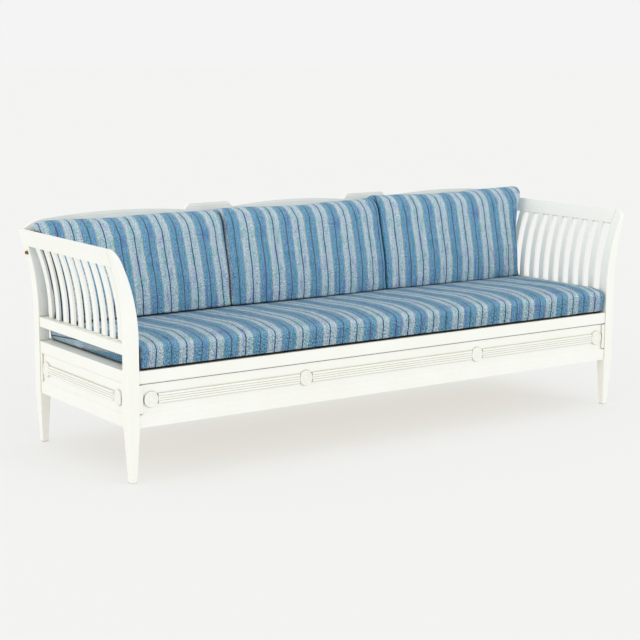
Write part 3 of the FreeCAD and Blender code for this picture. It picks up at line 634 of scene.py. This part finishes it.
def swell(piece, held):
    """Blows a cover up from a slightly smaller start with Cloth: start = point - slack times normal,
    and the end is start plus the cloth's movement, no longer than the cap. Held is 1 where a point
    stays and 0 where it is free."""
    mesh = piece.data
    full = rows_of(mesh.vertices, "co")
    normals = rows_of(mesh.vertex_normals, "vector")
    start = full - normals * slack * (1 - held)[:, None]
    mesh.vertices.foreach_set("co", start.astype(np.float32).reshape(-1))
    group = piece.vertex_groups.new(name="held")
    group.add(np.nonzero(held > pinned_from)[0].tolist(), 1.0, "REPLACE")
    cloth = piece.modifiers.new("cloth", "CLOTH")
    cloth.settings.quality = swell_quality
    cloth.settings.use_pressure = True
    cloth.settings.uniform_pressure_force = swell_pressure
    cloth.settings.effector_weights.gravity = 0.0
    cloth.settings.vertex_group_mass = "held"
    cloth.point_cache.frame_end = swell_frames
    for number in range(1, swell_frames + 1):
        scene.frame_set(number)
    shown = piece.evaluated_get(bpy.context.evaluated_depsgraph_get())
    movement = rows_of(shown.data.vertices, "co") - start
    piece.modifiers.remove(cloth)
    piece.vertex_groups.remove(group)
    length = np.linalg.norm(movement, axis=1, keepdims=True)
    movement *= np.minimum(1, swell_cap / np.maximum(length, shortest_move)) * (1 - held)[:, None]
    end = np.clip(start + movement, full.min(0), full.max(0))
    mesh.vertices.foreach_set("co", end.astype(np.float32).reshape(-1))
    mesh.update()
    scene.frame_set(1)
    moved, apart = (np.linalg.norm(end - other, axis=1) * 1000 for other in (start, full))
    print(piece.name, "moved by up to", round(float(moved.max()), 1), "mm, and is on average",
          round(float(apart.mean()), 2), "mm from the full shape")


print("a cover starts", slack * 1000, "mm inside its shape and moves by up to", swell_cap * 1000, "mm")

# %% [markdown]
# ### Seat cushion
#
# One cushion covers the whole bed. Its top rises quickly behind the front edge and then falls towards
# the back, where the back cushions press on it. The front stands out furthest near the top and draws
# in below, and a charcoal strip at the foot is painted shadow, so a dark line shows between the cloth
# and the rail. The right end is a little fuller.

# %% Seat sizes
seat_end = 0.9855
seat_front, seat_back = -0.350, 0.312
seat_foot, seat_widest = 0.3555, 0.424
seat_edge, seat_foot_edge = 0.012, 0.010
seat_spacing = 0.012
seat_slope = 0.047
seat_tilt = 0.0035 / seat_end
front_drop, front_reach = 0.024, 0.038
end_drop, end_reach = 0.008, 0.025
foot_draw, end_draw = 0.017, 0.007
front_draw_depth, end_draw_depth = 0.15, 0.10
draw_power = 1.5
block_top = seat_widest + seat_edge

# The back cushions begin to hold the top at the first of these depths, and hold it fast from the
# second on. The waves have their heights and seeds, and those of the front end at a depth.
held_from, held_fully = 0.06, 0.12
seat_wave, seat_wave_seed = 0.0012, 3
front_wave, front_wave_seed, front_wave_end = 0.0009, 5, -0.25

# The middle of one light band, how high the painted shadow strips at the foot are, and where the end
# panels' dark thread runs: its height half way along the end, and its fall for each metre towards the back.
seat_phase = -0.9271
front_shadow_strip, end_shadow_strip = 0.0065, 0.0016
end_thread_height, end_thread_slope = 0.395, 0.08
print("seat cushion", 2 * seat_end, "by", round(seat_back - seat_front, 3), "m")


# %% Seat shape
def seat_top(x, y):
    """The top falls evenly to the back, tilts a little, and drops as exp(-distance / reach) towards
    its front edge and its ends."""
    line = block_top + front_drop - seat_slope * (y - seat_front) + seat_tilt * x
    return (line - front_drop * np.exp(-(y - seat_front) / front_reach)
            - end_drop * np.exp(-(seat_end - np.abs(x)) / end_reach))


def seat_place(points):
    """Stretches the block's height to the top and draws the front and the ends in below the widest
    height, as the power 1.5 of the distance below it."""
    x, y, z = points.T
    z = seat_foot + (z - seat_foot) * (seat_top(x, y) - seat_foot) / (block_top - seat_foot)
    below = (np.clip(seat_widest - z, 0, None) / (seat_widest - seat_foot)) ** draw_power
    front_share = np.clip(1 - (y - seat_front) / front_draw_depth, 0, 1)
    end_share = np.clip(1 - (seat_end - np.abs(x)) / end_draw_depth, 0, 1)
    y = y + foot_draw * below * front_share
    x = x - np.sign(x) * end_draw * below * end_share
    return np.stack([x, y, z], 1)


print("top of the seat's middle, front to back:",
      np.round(seat_top(np.zeros(4), np.linspace(seat_front, seat_back, 4)), 3))

# %% Seat cushion
low = np.array([-seat_end, seat_front, seat_foot])
high = np.array([seat_end, seat_back, block_top])
low_radii = np.array([seat_edge, seat_edge, seat_foot_edge])
high_radii = np.full(3, seat_edge)
planes = [lattice(low[axis], high[axis], low_radii[axis], high_radii[axis], seat_spacing)
          for axis in range(3)]
block, quads, sides = block_skin(*planes)
points = seat_place(rounded(block, low, high, low_radii, high_radii))
height_share = np.clip((points[:, 2] - seat_foot) / (seat_widest - seat_foot), 0, 1)
free = 1 - eased(points[:, 1], held_from, held_fully)
points[:, 2] += waves(points[:, 0], points[:, 1], seat_wave_seed, seat_wave) * height_share * free
near_front = 1 - eased(points[:, 1], seat_front, front_wave_end)
points[:, 1] += waves(points[:, 0], points[:, 2], front_wave_seed, front_wave) * near_front

corner = seat_place(block)[quads.reshape(-1)]
on_end = np.repeat(sides < 2, 4)
below_thread = end_thread_height - end_thread_slope * corner[:, 1] - corner[:, 2]
u = np.where(on_end, np.sign(corner[:, 0]) * below_thread, corner[:, 0] - seat_phase)
v = np.where(on_end, corner[:, 1], corner[:, 2] + corner[:, 1])
seat = cushion_object("seat_cushion_cover", points, quads, np.stack([u, v], 1), seat_chenille)

# Charcoal cloth on the underside, and a strip of it at the foot as painted shadow.
seat.data.materials.append(underside_and_shadow_strip)
shadow_strip_height = np.where(sides < 2, end_shadow_strip, front_shadow_strip)
in_shadow_strip = points[:, 2][quads].mean(1) < seat_foot + shadow_strip_height
seat.data.polygons.foreach_set("material_index", in_shadow_strip.astype(np.int32))
swell(seat, np.maximum(1 - height_share, 1 - free))

# %% [markdown]
# ### Back cushions
#
# Each of the three stands on the seat and leans on the back. The front stands upright at the foot and
# leans back above, its middle is crowned, and the head is a dome over the whole depth. Where two
# neighbours meet, their ends are upright, and the two outer ends follow the flare of the arms.

# %% Sizes of the back cushions
back_depth = 0.144
foot_height = 0.4372
foot_slope = -seat_slope
front_foot, lean_height, lean_blend, lean_slope = 0.1175, 0.532, 0.039, 0.125
front_crown = 0.016

# Reaches of the rounded edges: to the end, to the front, to the back, at the foot and at the head.
end_round, side_round, rear_round, foot_round, head_round = 0.034, 0.028, 0.018, 0.012, 0.050
head_front_round = 0.045
head_rear_round = back_depth - head_front_round - 0.001
end_fullness = 2.8
head_blend, foot_blend = 0.12, 0.04

# Spacing of the lattice across and along, and the number of planes on each rounded edge.
back_spacing, depth_spacing = 0.0095, 0.01
end_turns, depth_turns, height_turns = 7, 8, 6

# The waves fade out towards the ends as this power of the nearness. The foot and the ends are held.
back_wave, head_wave, head_wave_shift = 0.0014, 0.0012, 20
wave_power = 6
foot_hold = 0.03
end_hold_from, end_hold_full = 0.9, 0.999
end_panel_share = 0.7
print("back cushions", back_depth, "m deep, from", foot_height, "m up")


# %% Lines that the back cushions follow
def front_line(z):
    """Y of the front at a height: level, then leaning, joined by a hyperbola: slope times
    (rise + sqrt(rise squared + blend squared))."""
    rise = z - lean_height
    return front_foot + lean_slope * (rise + np.sqrt(rise ** 2 + lean_blend ** 2))


arm_reach, arm_radius, arm_bend_height = 0.990, 0.674, 0.450
right_reach, right_bend_height, right_bend = 0.975, 0.55, 1.29


def left_arm_side(z):
    """The outer end of the left cushion, parallel to the arm's curve: upright, then a circle's arc."""
    rise = np.clip(z - arm_bend_height, 0, None)
    return -(arm_reach + arm_radius - np.sqrt(arm_radius ** 2 - rise ** 2))


def right_arm_side(z):
    """The outer end of the right cushion: upright, then a parabola."""
    return right_reach + right_bend * np.clip(z - right_bend_height, 0, None) ** 2


def upright(x):
    """An end that is the same at every height."""
    return lambda z: np.full_like(z, x)


print("Y of the front at the foot and where it leans:",
      np.round(front_line(np.array([foot_height, lean_height])), 3))


# %% Back cushions
def back_cushion(name, left, right, head, end_heads, stripe, phase, lean, seed):
    """One back cushion. Left and right give its ends by height, head is its top, and end_heads are
    the reaches of the rounding of its two upper corners. Its stripes repeat every so many
    millimetres from the phase, the X of a light band's middle, and lean is how far they tip
    outwards for each metre up.

    The stripes lie at even places along X. On the end panels they turn into upright stripes, because
    a share of the depth is added there, growing as the square of the nearness to the end."""
    foot = np.array([foot_height])
    start, finish = float(left(foot)[0]), float(right(foot)[0])
    low, high = np.array([start, 0, foot_height]), np.array([finish, back_depth, head])
    xs = lattice(start, finish, end_round, end_round, back_spacing, end_turns)
    ys = lattice(0, back_depth, head_front_round, head_rear_round, depth_spacing, depth_turns)
    zs = lattice(foot_height, head, foot_round, head_round, back_spacing, height_turns)
    block, quads, _ = block_skin(xs, ys, zs)
    up = eased(block[:, 2], head - head_blend, head - head_round)
    down = 1 - eased(block[:, 2], foot_height, foot_height + foot_blend)

    def reach(body, at_head):
        """The reach of a rounded edge at each height: body + (head - body) up + (foot - body) down."""
        return body + (at_head - body) * up + (foot_round - body) * down

    def place(points):
        """Bends the even block: the ends to their lines, the front to its line with a crown that
        falls as the square towards the ends, and the foot to the slope of the seat."""
        x, y, z = points.T
        share = (x - start) / (finish - start)
        here_left, here_right = left(z), right(z)
        x = here_left + share * (here_right - here_left)
        crown = front_crown * (2 * share - 1) ** 2 * (1 - y / back_depth)
        y = front_line(z) + y + crown
        height = (z - foot_height) / (head - foot_height)
        z = z + foot_slope * (y - front_foot) * (1 - height)
        return np.stack([x, y, z], 1)

    low_radii = np.stack([reach(end_round, end_heads[0]), reach(side_round, head_front_round),
                          np.full(len(block), foot_round)], 1)
    high_radii = np.stack([reach(end_round, end_heads[1]), reach(rear_round, head_rear_round),
                           np.full(len(block), head_round)], 1)
    points = place(rounded(block, low, high, low_radii, high_radii, end_fullness))
    corner = points[quads.reshape(-1)]
    free = eased(points[:, 2], foot_height, foot_height + foot_hold)
    share = (block[:, 0] - start) / (finish - start)
    inside = 1 - np.abs(2 * share - 1) ** wave_power
    points[:, 1] += waves(points[:, 0], points[:, 2], seed, back_wave) * free * inside
    points[:, 2] += waves(points[:, 0], points[:, 1], seed + head_wave_shift, head_wave) * up * inside

    tipped = corner[:, 0] + lean * (corner[:, 2] - foot_height)
    deeper = np.clip(corner[:, 1] - front_line(corner[:, 2]) - side_round, 0, None)
    side = np.sign(corner[:, 0] - (start + finish) / 2)
    end_x = np.where(side < 0, left(corner[:, 2]), right(corner[:, 2]))
    near_end = np.clip(1 - np.abs(corner[:, 0] - end_x) / end_round, 0, 1) ** 2
    u = (tipped + side * end_panel_share * deeper * near_end - phase) * stripe_mm / stripe
    v = corner[:, 2] + corner[:, 1]
    cover = cushion_object(name, points, quads, np.stack([u, v], 1), back_chenille)
    swell(cover, np.maximum(1 - free, eased(np.abs(2 * share - 1), end_hold_from, end_hold_full)))
    return cover


left_joint, right_joint, joint_gap = -0.362, 0.320, 0.0008
back_covers = {
    "left": back_cushion("left_back_cover", left_arm_side, upright(left_joint - joint_gap),
                         head=0.772, end_heads=(0.055, 0.020), stripe=108.2, phase=-0.6128,
                         lean=0.042, seed=11),
    "middle": back_cushion("middle_back_cover", upright(left_joint + joint_gap),
                           upright(right_joint - joint_gap),
                           head=0.776, end_heads=(0.020, 0.020), stripe=105.2, phase=-0.0676,
                           lean=0.0, seed=12),
    "right": back_cushion("right_back_cover", upright(right_joint + joint_gap), right_arm_side,
                          head=0.786, end_heads=(0.020, 0.020), stripe=108.4, phase=0.5880,
                          lean=0.0, seed=13),
}

# %% [markdown]
# ## What moves with what
#
# Every new piece rides on the imported body that it belongs to, and the imported piece it stands for
# is hidden. Each cover gets one step of smoothing.

# %% Ride and replace
covers = [(seat, "seat", "seat_cushion")]
covers += [(cover, side + "_cushion", side + "_back_cushion") for side, cover in back_covers.items()]
for cover, body, node in covers:
    smooth = cover.modifiers.new("smooth", "SUBSURF")
    smooth.levels = smooth.render_levels = 1
    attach(cover, body)
    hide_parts(node)
print("covers:", [cover.name for cover, _, _ in covers])
